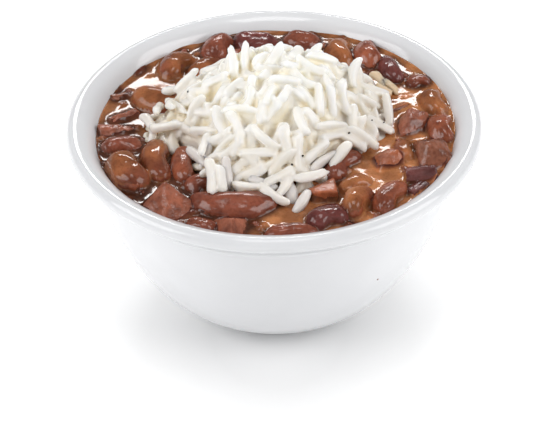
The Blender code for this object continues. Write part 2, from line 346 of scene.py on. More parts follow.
def wet_skin(name, colour, patchy=0.35, glow=0.15, fine=0.6, rough=0.13):
    """Cooked skin or meat under a film of gravy: patchy colour, fine relief, a sharp wet gloss."""
    skin = Shader(name)
    tint = np.array(colour)
    dark, light = tint * (1 - patchy) * (1.0, 0.92, 0.95), tint * (1 + patchy * 0.7)
    patches = skin.ramp(skin.noise(4.5, 2.0), (0.32, dark), (0.5, colour), (0.68, light))
    dots = skin.ramp(skin.noise(0.9, 2.0), (0.3, (0.72, 0.68, 0.66)), (0.55, (1.0, 1.0, 1.0)))
    skin.colour(skin.mix(0.8, patches, dots, "MULTIPLY"))
    skin.set(Roughness=rough, IOR=1.46)
    skin.glow(glow, (1.0, 0.35, 0.2), 1.2)
    rough_skin = skin.bump(skin.noise(0.8, 2.5), 0.065 * fine)
    skin.bump(skin.noise(0.3, 1.0), 0.032 * fine, rough_skin)
    return skin.material


pieces = {}
for number, (colour, wrinkles) in enumerate(BEANS):
    node = f"bean_{number + 1:02d}"
    rings, tips = bean_rings(Place(node), wrinkles, number * 10)
    pieces[node] = rings
    bean = closed_skins("cooked_" + node, rings[None], tips[None])
    bean.data.materials.append(wet_skin("skin_of_" + node, colour))
    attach(bean, "root")
    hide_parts(node)


# The meat. Ten bits of smoked ham and sausage: torn or cut chunks with flat faces and blunt edges,
# fibres along them, each glazed by the gravy that it sits in.

PINK = (0.30, 0.098, 0.056)
RUST = (0.37, 0.11, 0.048)
TAN = (0.25, 0.09, 0.052)
PLUM = (0.15, 0.05, 0.045)
EDGE_POWER = 10  # the higher it is, the sharper the edges
OUT_OF_SQUARE = 0.16  # by which the sides lean, about this many radians
CHUNK_LUMPS = ((0.18, 4.5),)  # height and size of its unevenness
FIBRES = ((0.06, 1.6), (0.025, 0.8))  # height and width of its fibres, times how rough it is
FIBRE_STRETCH = 0.35  # width of a fibre as a share of its length
# Each piece: its heading and tilt in degrees, its length, width and height, how rough it is, its
# colour, and by how much it stands higher than its solid in the frame.
MEATS = {
    "meat_01": (125, 0, (16.0, 14.5, 13.0), 0.5, PINK, 0.0),
    "meat_02": (100, 0, (10.0, 8.5, 9.0), 1.0, PINK, 0.0),
    "meat_03": (10, 0, (8.0, 7.2, 7.2), 0.9, RUST, 0.9),
    "meat_04": (30, -12, (10.5, 7.2, 7.2), 1.2, RUST, 0.4),
    "meat_05": (75, 8, (11.5, 9.0, 8.0), 1.5, PINK, 0.0),
    "meat_06": (102, 20, (18.0, 7.5, 11.0), 1.2, TAN, 2.2),
    "meat_07": (10, -10, (9.0, 5.4, 6.6), 1.8, PLUM, 0.9),
    "meat_08": (45, 10, (6.2, 4.4, 5.6), 1.8, PLUM, 0.6),
    "meat_09": (30, 2, (9.4, 5.6, 5.8), 3.6, PINK, 0.3),
    "meat_10": (22, -2, (12.0, 5.0, 5.8), 3.6, PINK, 0.3),
}
# The extra cuts through each: the direction a cut faces, in degrees from +X and degrees up, and how
# far it is from the middle, as a share of the half height.
CUTS = {
    "meat_01": ((232, 60, 0.66), (318, 56, 0.47), (150, 30, 0.87), (45, 32, 0.67)),  # to one point
    "meat_02": ((200, 45, 0.55), (340, 40, 0.55), (90, 50, 0.6)),
    "meat_03": ((130, 50, 0.9),),
    "meat_04": ((200, 40, 0.8), (290, 45, 0.75)),
    "meat_05": ((180, 40, 0.8), (300, 35, 0.8)),
    "meat_06": ((100, 55, 0.85), (270, 40, 0.9), (200, 30, 0.75)),
    "meat_07": ((100, 50, 0.8),),
    "meat_08": (),
    "meat_09": ((300, 40, 0.8), (120, 50, 0.9)),
    "meat_10": ((290, 40, 0.85), (80, 50, 0.9)),
}


def ball_rings(count, around):
    """Rings of points (cos t, sin t cos a, sin t sin a) over a ball of radius 1."""
    t = ((np.arange(count) + 0.5) / count * np.pi)[:, None]
    turn = full_turn(around)
    return stacked(np.cos(t), np.sin(t) * np.cos(turn), np.sin(t) * np.sin(turn))


def facing(degrees, rise):
    """The direction of this heading and rise, both in degrees."""
    a, b = math.radians(degrees), math.radians(rise)
    return np.array([math.cos(a) * math.cos(b), math.sin(a) * math.cos(b), math.sin(b)])


def chunk_rings(size, heading, tilt, cuts, rough, seed, count=72, around=90):
    """A cut chunk: the space inside a set of planes, with blunt edges, roughened along its fibres.

    In a direction d the surface is at 1 / (sum of max(0, n.d / h)^p)^(1/p), where p is EDGE_POWER,
    over the planes of normal n and distance h: six sides a little out of square, and the cuts.
    """
    chance = np.random.default_rng(seed)
    headed = Matrix.Rotation(math.radians(heading), 3, "Z")
    axes = np.array(headed @ Matrix.Rotation(math.radians(tilt), 3, "X")).T
    normals, depths = [], []
    for axis, half in zip(axes, size / 2):
        for sign in (1, -1):
            normal = sign * axis + chance.normal(0, OUT_OF_SQUARE, 3)
            normals.append(normal / np.linalg.norm(normal))
            depths.append(half * chance.uniform(0.9, 1.02))
    for degrees, rise, share in cuts:
        normals.append(facing(degrees, rise))
        depths.append(size[2] / 2 * share)
    ball = ball_rings(count, around)
    pressed = np.clip(ball @ np.array(normals).T / np.array(depths), 0, None)
    grid = ball / ((pressed**EDGE_POWER).sum(-1) ** (1 / EDGE_POWER))[..., None]
    along = grid @ axes.T * (FIBRE_STRETCH, 1, 1)
    fibres = [(height * rough, width) for height, width in FIBRES]
    uneven = roughened(roughened(0.0, grid, CHUNK_LUMPS, seed), along, fibres, seed + 1)
    return grid + ball * uneven[..., None]


for number, (node, row) in enumerate(MEATS.items()):
    heading, tilt, size, rough, colour, lift = row
    grid = chunk_rings(np.array(size), heading, tilt, CUTS[node], rough, seed=500 + number * 10)
    corners = corners_of(node)
    middle = (corners.min(0) + corners.max(0)) / 2
    place = np.array([middle[0], middle[1], corners[:, 2].max() + lift - grid[..., 2].max()])
    pieces[node] = grid + place
    chunk = closed_skins("chunk_" + node, pieces[node][None])
    face = wet_skin("face_of_" + node, colour, patchy=0.45, glow=0.12, fine=1.6, rough=0.14)
    chunk.data.materials.append(face)
    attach(chunk, "root")
    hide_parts(node)


# The scraps. Split skins and shreds of bean and meat from the long stew, two to five millimetres
# across, that lie between the larger pieces, some of them just under the gravy.

GRAVY_LEVEL = 53.5
GRAVY_SLOPE = (0.012, 0.018)
GRAVY_SAG = 0.0003  # by which it sinks, times the square of the distance in front of SAG_FROM
SAG_FROM = 10.0
SCRAPS = 150
SCRAP_REACH = (24.0, 52.5)  # between these distances from the middle of the bowl
SCRAP_HALF = ((1.0, 0.8, 0.8), (2.8, 1.7, 1.5))  # smallest and largest half length, width, height
SCRAP_OUT = (-0.4, 1.4)  # from just under the gravy to this far out of it
SCRAP_LUMPS = ((0.45, 3.2), (0.12, 1.2))  # share of its size by which it is uneven, and over what


def gravy_level(x, y):
    """Height of the gravy at rest: a plane a little askew, less its sag on the diner's side."""
    sag = GRAVY_SAG * np.minimum(y - SAG_FROM, 0.0) ** 2
    return GRAVY_LEVEL + GRAVY_SLOPE[0] * x + GRAVY_SLOPE[1] * y - sag


def scrap_rings(chance, count, around=14, rings=11):
    """Flat uneven pebbles: ellipsoids of three chance half sizes, turned about Z and roughened."""
    half = chance.uniform(*SCRAP_HALF, (count, 3))
    heading = chance.uniform(0, np.pi, count)[:, None, None]
    grid = ball_rings(rings, around)[None] * half[:, None, None]
    far = grid + np.arange(count)[:, None, None, None] * 40.0
    grid = grid * roughened(1, far, SCRAP_LUMPS, 77)[..., None]
    x = grid[..., 0] * np.cos(heading) - grid[..., 1] * np.sin(heading)
    y = grid[..., 0] * np.sin(heading) + grid[..., 1] * np.cos(heading)
    return np.stack([x, y, grid[..., 2]], -1)


chance = np.random.default_rng(41)
reach = np.sqrt(chance.uniform(SCRAP_REACH[0] ** 2, SCRAP_REACH[1] ** 2, SCRAPS))
angle = chance.uniform(0, 2 * np.pi, SCRAPS)
scrap_grid = scrap_rings(chance, SCRAPS)
x, y = reach * np.cos(angle), reach * np.sin(angle)
scrap_top = gravy_level(x, y) + chance.uniform(*SCRAP_OUT, SCRAPS)
place = np.stack([x, y, scrap_top - scrap_grid[..., 2].max((1, 2))], -1)
scrap_grid = scrap_grid + place[:, None, None]
for number, rings in enumerate(scrap_grid):
    pieces[f"scrap_{number}"] = rings
for kind, colour in enumerate((TAN, RED)):
    scraps = closed_skins(f"stewed_scraps_{kind + 1}", scrap_grid[kind::2])
    skin = wet_skin(f"skin_of_scraps_{kind + 1}", colour, 0.5, glow=0.12, fine=1.6, rough=0.17)
    scraps.data.materials.append(skin)
    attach(scraps, "root")


# The gravy. A thick brown bean gravy that fills the bowl to just under the lip: it climbs a little
# at the wall and round every piece and covers some beans with a film. Its colour has painted shade
# where it is crowded, painted light where it is open and to the right, and is darker behind.

CELL = 0.25  # of the square grid on which the surface is worked out
REACH = 57.0  # half the side of that grid
NOTHING = -1e3  # the height of a top where nothing lies
BARE = (-1.0, 0, 0.0)
# The beans that gravy covers: its depth over each, the direction in degrees from +X in which it
# thins, and by how much over half the bean, down to LAST_FILM.
COVERED = {
    "bean_01": (0.30, -60, 0.35),
    "bean_03": (0.25, -80, 0.3),
    "bean_11": (0.5, 0, 0.0),
    "bean_13": (0.35, 0, 0.3),
    "bean_14": (0.25, 180, 0.5),
    "bean_16": (0.45, 0, 0.0),
    "bean_20": (0.35, 0, 0.0),
    "bean_25": (0.25, 180, 0.4),
    "bean_26": (0.25, 0, 0.4),
    "bean_27": (0.4, 0, 0.0),
}
SCRAP_COAT = (0.15, 0, 0.0)  # and over every third scrap
LAST_FILM = 0.06
CLIMB = 0.18  # height to which the gravy climbs at a piece
CLIMB_WIDTH = 0.7
CLIMB_REACH = 3.0
FILLET = 0.7  # between the gravy and a piece that it covers
FRINGE = 0.16  # depth of the film on a bare piece just above the gravy
FRINGE_FALL = 0.36  # by which it thins for each millimetre of height
RAGGED = ((0.14, 4.5), (0.04, 1.8))  # height and size of its unevenness
RIPPLES = ((0.09, 13.0), (0.03, 5.5), (0.005, 2.2))  # and of that of the gravy
WELL_UNDER = 4.0  # depth at which a film or a fringe no longer lifts the gravy
WALL_CLIMB = 0.7
DEEP = 3.5  # from this depth on the gravy hides what is under it
# Painted shade and light: three numbers add to how dark the gravy's colour is painted at a place:
PAINTED_LIGHT_RIGHTWARD = 0.0078  # less of it for each millimetre to the right of PAINTED_LIGHT_FROM, in front of the rice
PAINTED_LIGHT_FROM = 8.0
DARKER = 0.004  # more of it for each millimetre behind the middle
FILM_CROWD_SHADING = 0.275  # and about this much on the beans that the gravy covers, whatever is round them


def finer(rings, times):
    """The same rings with this many times the points, by straight interpolation both ways."""
    share = np.arange(times)[None, :, None, None] / times
    between = rings[:-1, None] * (1 - share) + rings[1:, None] * share
    rings = between.reshape(-1, *rings.shape[1:])
    following = np.roll(rings, -1, axis=1)
    share = np.arange(times)[None, None, :, None] / times
    return (rings[:, :, None] * (1 - share) + following[:, :, None] * share).reshape(-1, 3)


def cell_of(x, y):
    """The grid's cell that each place is in."""
    return (np.rint((x + REACH) / CELL).astype(int), np.rint((y + REACH) / CELL).astype(int))


def shifted(field, i, j):
    """The field moved by i cells along X and j cells along Y."""
    return np.roll(np.roll(field, i, axis=0), j, axis=1)


def softened(field, times):
    """Blurs a field a little, with the weights 1 2 1 both ways."""
    for _ in range(times):
        field = (shifted(field, 1, 0) + 2 * field + shifted(field, -1, 0)) / 4
        field = (shifted(field, 0, 1) + 2 * field + shifted(field, 0, -1)) / 4
    return field


def sampled(field, x, y):
    """The field's value at each place, from the four cells round it."""
    u, v = (x + REACH) / CELL, (y + REACH) / CELL
    i, j = np.floor(u).astype(int), np.floor(v).astype(int)
    a, b = u - i, v - j
    return (field[i, j] * (1 - a) + field[i + 1, j] * a) * (1 - b) + (
        field[i, j + 1] * (1 - a) + field[i + 1, j + 1] * a
    ) * b


def plane(steps, cell, side):
    """The x and y of each cell of a square grid from -side on."""
    return np.meshgrid(*[np.arange(steps) * cell - side] * 2, indexing="ij")


def piece_tops():
    """Two fields: the height of the tops of the pieces, and the depth of gravy over them."""
    steps = int(2 * REACH / CELL) + 1
    x, y = plane(steps, CELL, REACH)
    tops = np.full((steps, steps), NOTHING)
    coats = np.full((steps, steps), BARE[0])
    for number, (node, rings) in enumerate(pieces.items()):
        own = np.full((steps, steps), NOTHING)
        dense = finer(rings, 3)
        np.maximum.at(own, cell_of(dense[:, 0], dense[:, 1]), dense[:, 2])
        third_scrap = node.startswith("scrap") and number % 3 == 0
        depth, heading, falls = COVERED.get(node, SCRAP_COAT if third_scrap else BARE)
        middle = rings.reshape(-1, 3).mean(0)
        way = np.array([math.cos(math.radians(heading)), math.sin(math.radians(heading))])
        reach = np.abs((rings[..., :2] - middle[:2]) @ way).max()
        away = ((x - middle[0]) * way[0] + (y - middle[1]) * way[1]) / reach
        coat = np.full_like(x, BARE[0])
        if depth > 0:
            uneven = 0.08 * waves(np.stack([x, y], -1), 5.0, 900 + number, 12)
            coat = np.maximum(depth - falls * away + uneven, LAST_FILM)
        higher = own > tops
        tops = np.where(higher, own, tops)
        coats = np.where(higher, coat, coats)
    return x, y, tops, coats


flat_x, flat_y, piece_top, piece_coat = piece_tops()


def joined(first, second, soft):
    """The higher of two surfaces, and a fillet: half of soft * exp(-difference / soft)."""
    return np.maximum(first, second) + 0.5 * soft * np.exp(-np.abs(first - second) / soft)


def gravy_fields(x, y, tops, coats):
    """The height of the gravy, its depth over what lies under it, and how crowded each place is,
    for the painted shade and light on it.

    The climb round a piece is the highest, over the places near by that a piece stands out of, of
    CLIMB * exp(-distance / CLIMB_WIDTH). A bare piece has only a fringe of film, which thins with
    the height above the gravy. The painted shade and light start from the share of a place and of
    its surroundings that pieces stand out of, with the changes that the three numbers above give.
    """
    level = gravy_level(x, y)
    flat = np.stack([x, y], -1)
    out = (tops > level + 0.2).astype(float)
    climb = np.zeros_like(level)
    reach = int(CLIMB_REACH / CELL)
    for i in range(-reach, reach + 1):
        for j in range(-reach, reach + 1):
            distance = math.hypot(i, j) * CELL
            if distance <= CLIMB_REACH:
                climb = np.maximum(climb, shifted(out, i, j) * math.exp(-distance / CLIMB_WIDTH))
    rest = level + CLIMB * softened(climb, 2)
    rest += roughened(0.0, flat, RIPPLES, 11)
    somewhere = tops > NOTHING / 10
    covered = somewhere & (coats > 0)
    nowhere = level - WELL_UNDER
    film = softened(np.where(covered, tops + coats, nowhere), 3)
    height = joined(rest, film, FILLET)
    ragged = roughened(FRINGE, flat, RAGGED, 14)
    fringe = np.where(somewhere, tops + ragged - FRINGE_FALL * (tops - rest), nowhere)
    height = joined(height, softened(fringe, 1), 0.15)
    depth = np.where(somewhere, height - tops, DEEP)
    in_front = np.clip(0.6 - y / 60.0, 0.1, 1)
    # Painted shade and light: how crowded each place is darkens the gravy's colour there, and open
    # places are painted paler.
    crowd = softened(np.where(covered, 0.25, out), 50)
    # Painted light to the right in front of the rice, and darker behind.
    crowd += DARKER * np.clip(y, 0, None) - PAINTED_LIGHT_RIGHTWARD * (x - PAINTED_LIGHT_FROM) * in_front
    crowd = np.where(covered, FILM_CROWD_SHADING + 0.1 * (crowd - 0.3), crowd)
    return height, softened(np.clip(depth, 0, DEEP), 3), crowd


def wall_radius(height):
    """Radius of the bowl's inside at each height."""
    wall = inner_wall()
    return np.interp(height, wall[:, 1], wall[:, 0])


def marked(piece, **fields):
    """Stores numbers on the points of a piece, under the names by which its material reads them."""
    for name, values in fields.items():
        stored = piece.data.attributes.new(name, "FLOAT", "POINT")
        stored.data.foreach_set("value", values.astype(np.float32))


gravy_height, gravy_depth, gravy_crowd = gravy_fields(flat_x, flat_y, piece_top, piece_coat)
angle = full_turn(620)
edge = wall_radius(gravy_level(50 * np.cos(angle), 50 * np.sin(angle)) + WALL_CLIMB) - 0.05
share = np.concatenate([np.linspace(0.04, 0.40, 10)[:-1], np.linspace(0.40, 1.0, 112)])[:, None]
ring_x, ring_y = share * edge * np.cos(angle), share * edge * np.sin(angle)
from_wall = edge * (1 - share)
top_z = sampled(gravy_height, ring_x, ring_y)
ragged = 1 + 0.35 * waves(np.stack([np.cos(angle), np.sin(angle)], -1) * 50, 14.0, 21)
top_z = top_z + WALL_CLIMB * ragged * np.exp(-from_wall / 0.7)
down = np.linspace(51.0, FLOOR_TOP + 0.6, 12)[:, None]
down_radius = wall_radius(down) - 0.3
low_x, low_y = down_radius * np.cos(angle), down_radius * np.sin(angle)
top_rings = np.stack([ring_x, ring_y, top_z], -1)
low_rings = stacked(low_x, low_y, down)
top_middle = sampled(gravy_height, np.zeros(1), np.zeros(1))[0]
tips = np.array([[0, 0, top_middle], [0, 0, FLOOR_TOP + 0.3]])
gravy = closed_skins("brown_gravy", np.concatenate([top_rings, low_rings])[None], tips[None])
thin = np.minimum(sampled(gravy_depth, ring_x, ring_y), 0.3 + from_wall * 1.6)
under_top = low_x.size + 2
thin = np.append(thin, np.full(under_top, DEEP))
crowd = np.append(sampled(gravy_crowd, ring_x, ring_y), np.zeros(under_top))
marked(gravy, depth=thin, crowd=crowd)

sauce = Shader("bean_gravy")
deep = sauce.node("MapRange", From_Max=DEEP)
sauce.link(sauce.mark("depth"), deep.inputs["Value"])
by_depth = sauce.ramp(
    deep.outputs["Result"],
    (0.0, (0.22, 0.060, 0.036)),
    (0.06, (0.32, 0.104, 0.046)),
    (0.14, (0.32, 0.112, 0.048)),
    (0.5, (0.27, 0.100, 0.045)),
    (1.0, (0.25, 0.092, 0.042)),
)
# Painted shade and light: the gravy is up to about twice as bright where it is open, and darker
# where it is crowded.
by_crowd = sauce.ramp(
    sauce.mark("crowd"),
    (0.1, (1.90, 2.10, 1.85)),
    (0.3, (1.0, 1.06, 1.0)),
    (0.50, (0.42, 0.38, 0.42)),
)
cloud = sauce.ramp(sauce.noise(6, 3.0), (0.36, (0.62, 0.57, 0.55)), (0.6, (1.12, 1.12, 1.10)))
grit = sauce.ramp(sauce.noise(0.7, 2.0), (0.34, (0.78, 0.74, 0.7)), (0.5, (1.0, 1.0, 1.0)))
shaded = sauce.mix(1.0, by_depth, by_crowd, "MULTIPLY")
sauce.colour(sauce.mix(0.8, sauce.mix(1.0, shaded, cloud, "MULTIPLY"), grit, "MULTIPLY"))
sauce.set(Roughness=0.08, IOR=1.40)
sauce.glow(0.25, (1.0, 0.4, 0.2), 1.5)
sauce.bump(sauce.noise(1.6, 2.5), 0.018)
gravy.data.materials.append(sauce.material)
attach(gravy, "root")
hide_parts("gravy")


# The rice. Boiled long-grain rice, tipped out as a heap: some six hundred soft grains that stick to
# one another and to a smaller core, those in front in set places, and a few in the gravy.

GRAIN_LENGTH = 9.6
GRAIN_WIDTH = 3.35
GRAIN_THICKNESS = 2.8
PRESS = 1.9  # how far soft, sticky grains sink into one another
HEAP_CELL = 0.4
HEAP_SIDE = 48.0
HEAP_COVER = 4.6  # depth below the outline of the heap to which grains cover every place
HEAP_DEPTH = 9.0  # depth to which a grain may fall
HEAP_BASE = 50.0
HEAP_LUMPS = ((0.9, 8.0),)  # height and size of the unevenness of its top
LOW_GRAINS = 1.2  # height over the gravy up to which grains lie outside the outline
CORE_FROM = 6.0  # thickness of the heap from which it has a core
STEEPEST = 1.4  # slope of a grain
WAYS = 5  # in which a grain is tried before it is laid
CHOOSY = 1.6  # how much lower than the best of them the one that is taken may lie
STUCK_GAP = 0.8  # half the width of the gaps between grains that sticky rice fills
STUCK_UNDER = ((56.0, 3.9), (70.0, 1.9))  # at a height of the heap, how far under it the filling is
HEAP_SLOPE = 0.9  # fall for each millimetre outside the outline up to which grains stick out
# The rice is greyer low down towards the gravy: partly from soaking in it, partly painted shade.
SOAKED_SHADE_TINT = (0.72, 0.65, 0.585)
SOAK_SHADE_MOST, SOAK_SHADE_TO = 0.75, 20.0  # its share just over the gravy, and the height where it ends
WELD = 0.33  # size of the voxels on which the grains are welded together
WELD_FACES = 185000  # triangles that are kept of that skin
# Grains in set places: the middle (x, y, z), the heading and the rise in degrees, the length. These
# numbers were worked out by projection outside this script and then adjusted, not designed here.
DRY = (
    (-17.8, -28.6, 58.6, -85, -24, 11.5), (-15.2, -29.4, 58, -82, -28, 9),
    (-18, -20, 57.8, 176, -38, 8.5), (-17.2, -24.8, 57.2, 172, -14, 8.5),
    (-19.8, -15.5, 60, -105, -8, 9), (-14.5, -18, 61.2, -150, -40, 9),
    (-15.4, -14.4, 62, 168, -38, 9.5), (-12.2, -19.6, 61, -153, -26, 9),
    (-4.8, -20.9, 60.6, 2, -2, 11.2), (-8.4, -22.8, 58.8, -155, -20, 9),
    (-7.6, -24.8, 56.9, -155, -18, 10), (-7.6, -29.9, 55.9, -6, 0, 9.5),
    (-0.6, -32.6, 54.8, -36, -13, 11), (-5.4, -24.9, 56.8, 30, 18, 8.5),
    (-6.8, -22.6, 59.2, -33, -30, 8.5), (0.2, -22.2, 58.8, -154, -18, 9.5),
    (-15.2, -11, 64.6, -74, -14, 12.5), (-10.8, -14.4, 65.2, -71, -30, 10.5),
    (-10.6, -18.6, 62.2, -118, -38, 9), (-9.5, -9.6, 67.7, -18, 10, 11),
    (-2.7, -17.7, 63.5, -30, -28, 11), (-31.2, -4, 58.8, -12, 18, 10),
    (-25.2, -5.4, 58.6, -38, -4, 10.5), (-20, -9, 60.4, -30, 16, 10),
    (-36.6, 2.6, 55.9, -66, 3, 8), (-35, -3.2, 55.6, -100, -48, 6.5),
    (-33.6, 5.2, 58.6, -98, 20, 9), (-29.6, 4.6, 60.4, -88, 24, 9.5),
    (-28.2, 4, 60.2, -60, 12, 12), (-28.6, 13.8, 59.6, -20, 26, 10),
    (-25.4, 12, 63.9, 8, 48, 10), (-8, 9.4, 73.2, 84, 42, 9.5),
    (-11.6, 8, 72.6, 100, 42, 9.5), (0.6, 8.6, 74.3, 50, 34, 8.5),
    (11.8, 10.8, 72.2, 52, 40, 8.8), (14.2, 9.6, 72.2, 12, -22, 10.5),
    (23.8, 9.8, 67, 70, 42, 9.5), (24.6, 13.2, 63.8, 20, -36, 11),
    (28.8, 9.8, 60.8, 2, -24, 10.5), (33.2, 3.6, 57.8, -83, -34, 10.5),
    (30.4, -2.6, 56.8, -16, -25, 9.5), (22, -11.4, 57.4, -16, -27, 10),
    (25.4, -10.2, 57.8, -24, -28, 10.5), (17, -12.2, 59.8, 36, -12, 11),
    (16, -10.4, 62.2, 30, -18, 11), (22.3, -5.4, 60.8, -96, -40, 9.5),
    (13.1, -5.4, 67.8, -87, -34, 10), (16.5, -4.2, 66.4, -83, -38, 10),
    (20.1, -1.2, 65.8, -79, -40, 11), (3.2, -17.8, 62.8, -77, -42, 9.5),
    (6.6, -20.5, 59.8, -90, -44, 11.5), (11.2, -18.6, 58.9, -138, -16, 10.5),
    (18.4, -18.3, 57.4, -136, -32, 10), (9.8, -26.6, 56.6, 18, 2, 10.8),
    (1, -27.2, 56.8, -155, -14, 10.5), (1.9, -22.6, 58.6, -140, -28, 11),
    (2.6, -29.6, 55.6, -120, -22, 8),
)
# Grains greyed low in front, in set places: partly from soaking in the gravy, partly painted shade.
SOAKED_SHADED = (
    (-21.9, -16.2, 56.4, -61, 4, 10.5), (-18.5, -17, 57.4, -87, -40, 9),
    (-13.5, -26, 57.8, -84, -38, 9.5), (13.8, -19.8, 56.6, -140, -8, 10.5),
    (7.4, -34.6, 53.6, -124, -22, 8.5), (4.3, -30.6, 53.4, -74, -30, 8),
    (-3.6, -28.2, 55.4, -21, -12, 9),
)
STAINED = (
    (31.2, 21.2, 57, -52, -14, 6.5), (34.4, 19, 55.7, -38, -16, 7),
    (32.6, 17.2, 55.6, -20, -24, 5.5),
)


def heap_cell(place):
    """The cells of the heap's grid that places along X or Y are in."""
    return np.rint((place + HEAP_SIDE) / HEAP_CELL).astype(int)


def heap_outline():
    """The top of the frame's heap of rice on a square grid, from dense points on its triangles."""
    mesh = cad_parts["rice_mound"].data
    mesh.calc_loop_triangles()
    faces = np.empty(len(mesh.loop_triangles) * 3, np.int32)
    mesh.loop_triangles.foreach_get("vertices", faces)
    a, b, c = (corners_of("rice_mound")[faces.reshape(-1, 3)[:, i]] for i in range(3))
    steps = int(2 * HEAP_SIDE / HEAP_CELL) + 1
    tops = np.full((steps, steps), NOTHING)
    fine = np.linspace(0, 1, 30)
    for p in fine:
        for q in fine[fine <= 1 - p + 1e-9]:
            point = a * (1 - p - q) + b * p + c * q
            np.maximum.at(tops, tuple(heap_cell(point[:, :2]).T), point[:, 2])
    return tops


def laid_rows(table, seed):
    """Rows of the form that pile gives, from a table of grains in set places."""
    table = np.array(table)
    heading, rise = np.radians(table[:, 3]), np.radians(table[:, 4])
    level = np.cos(rise)
    way = np.stack([np.cos(heading) * level, np.sin(heading) * level, np.sin(rise)], -1)
    roll = np.random.default_rng(seed).uniform(0, 2 * np.pi, len(table))
    return np.hstack([table[:, :3], way, roll[:, None], table[:, 5:] / 2])


def spread(rows):
    """The cells that each grain lies over, its middle's height and its half thickness there."""
    t = np.linspace(-1, 1, 33)[None, :, None]
    across = np.linspace(-1, 1, 9)[None, None]
    x, y, z, way_x, way_y, way_z, _, half = (column[:, None, None] for column in rows.T)
    flat = np.hypot(way_x, way_y)
    px = x + t * half * way_x - across * GRAIN_WIDTH / 2 * way_y / flat
    py = y + t * half * way_y + across * GRAIN_WIDTH / 2 * way_x / flat
    body = np.sqrt(1 - t**6) * np.sqrt(1 - 0.92 * across**2) * GRAIN_THICKNESS / 2
    return np.broadcast_arrays(heap_cell(px), heap_cell(py), z + t * half * way_z, body)


def under(rows, outline):
    """The outline, lowered to just inside the undersides of the grains of these rows."""
    i, j, middle, body = spread(rows)
    lowered = outline.copy()
    np.minimum.at(lowered, (i, j), middle - body + PRESS)
    return lowered


def closed_over(field, reach):
    """The field with its cracks narrower than twice this reach filled: it is spread, then worn."""
    cells = int(reach / HEAP_CELL)
    steps = range(-cells, cells + 1)
    near = [(i, j) for i in steps for j in steps if i * i + j * j <= cells * cells + 1]
    wide = np.max([shifted(field, i, j) for i, j in near], axis=0)
    return np.min([shifted(wide, i, j) for i, j in near], axis=0)


def pile(ceiling, outline, seed, most):
    """Packs grains one by one under a ceiling, which each one lowers to its own underside.

    A grain goes where the heap is still barest, at the heading of a few that lets it lie highest:
    the line of its middle is the highest one that stays half its thickness under the ceiling. The
    rows that come back are middle, direction, roll and half length.
    """
    chance = np.random.default_rng(seed)
    limit = ceiling.copy()
    bare = np.where(outline > NOTHING / 10, 1.0, 0.0)
    across = np.linspace(-1, 1, 7)
    t = np.linspace(-1, 1, 27)[:, None]
    thin = np.sqrt(1 - np.abs(t) ** 5)
    body = thin * np.sqrt(1 - 0.92 * across**2) * GRAIN_THICKNESS / 2
    left, right = np.flatnonzero(t[:, 0] < 0), np.flatnonzero(t[:, 0] >= 0)
    each = np.arange(WAYS)
    rows = []
    while len(rows) < most:
        weight = np.clip(limit - outline + HEAP_COVER, 0, None) ** 3 * bare
        if weight.max() < 1.0:
            break
        reached = np.cumsum(weight)
        barest = np.searchsorted(reached, chance.uniform(0, reached[-1]))
        i, j = np.unravel_index(barest, bare.shape)
        heading = (chance.uniform(0, np.pi) + each * np.pi / WAYS)[:, None, None]
        half = GRAIN_LENGTH / 2 * chance.uniform(0.66, 1.12)
        slope = np.zeros((WAYS, 1, 1))
        for _ in range(2):
            flat = half * np.cos(np.arctan(slope))
            px = t * flat * np.cos(heading) - across * thin * GRAIN_WIDTH / 2 * np.sin(heading)
            py = t * flat * np.sin(heading) + across * thin * GRAIN_WIDTH / 2 * np.cos(heading)
            ci = np.clip(np.rint(px / HEAP_CELL).astype(int) + i, 0, bare.shape[0] - 1)
            cj = np.clip(np.rint(py / HEAP_CELL).astype(int) + j, 0, bare.shape[1] - 1)
            room = (limit[ci, cj] - body).min(-1)
            at = t[:, 0] * flat[:, :, 0]
            at_a, at_b = at[:, left, None], at[:, None, right]
            held = (room[:, left, None] * at_b - room[:, None, right] * at_a) / (at_b - at_a)
            best = held.reshape(WAYS, -1).argmin(1)
            a, b = left[best // len(right)], right[best % len(right)]
            slope = (room[each, b] - room[each, a]) / (at[each, b] - at[each, a])
            slope = np.clip(slope, -STEEPEST, STEEPEST)[:, None, None]
        slope[:, 0, 0] += chance.normal(0, 0.12, WAYS)
        middle = (room - slope[:, :, 0] * at).min(-1)
        k = int(np.argmax(middle + chance.uniform(0, CHOOSY, WAYS)))
        if middle[k] < outline[i, j] - HEAP_DEPTH:
            bare[i - 1 : i + 2, j - 1 : j + 2] = 0.0
            continue
        bottom = middle[k] + slope[k] * at[k][:, None] - body + PRESS
        np.minimum.at(limit, (ci[k], cj[k]), bottom)
        way = np.array([math.cos(heading[k, 0, 0]), math.sin(heading[k, 0, 0]), slope[k, 0, 0]])
        spot = (i * HEAP_CELL - HEAP_SIDE, j * HEAP_CELL - HEAP_SIDE, middle[k])
        rows.append((*spot, *(way / np.linalg.norm(way)), chance.uniform(0, 2 * np.pi), half))
    return np.array(rows)


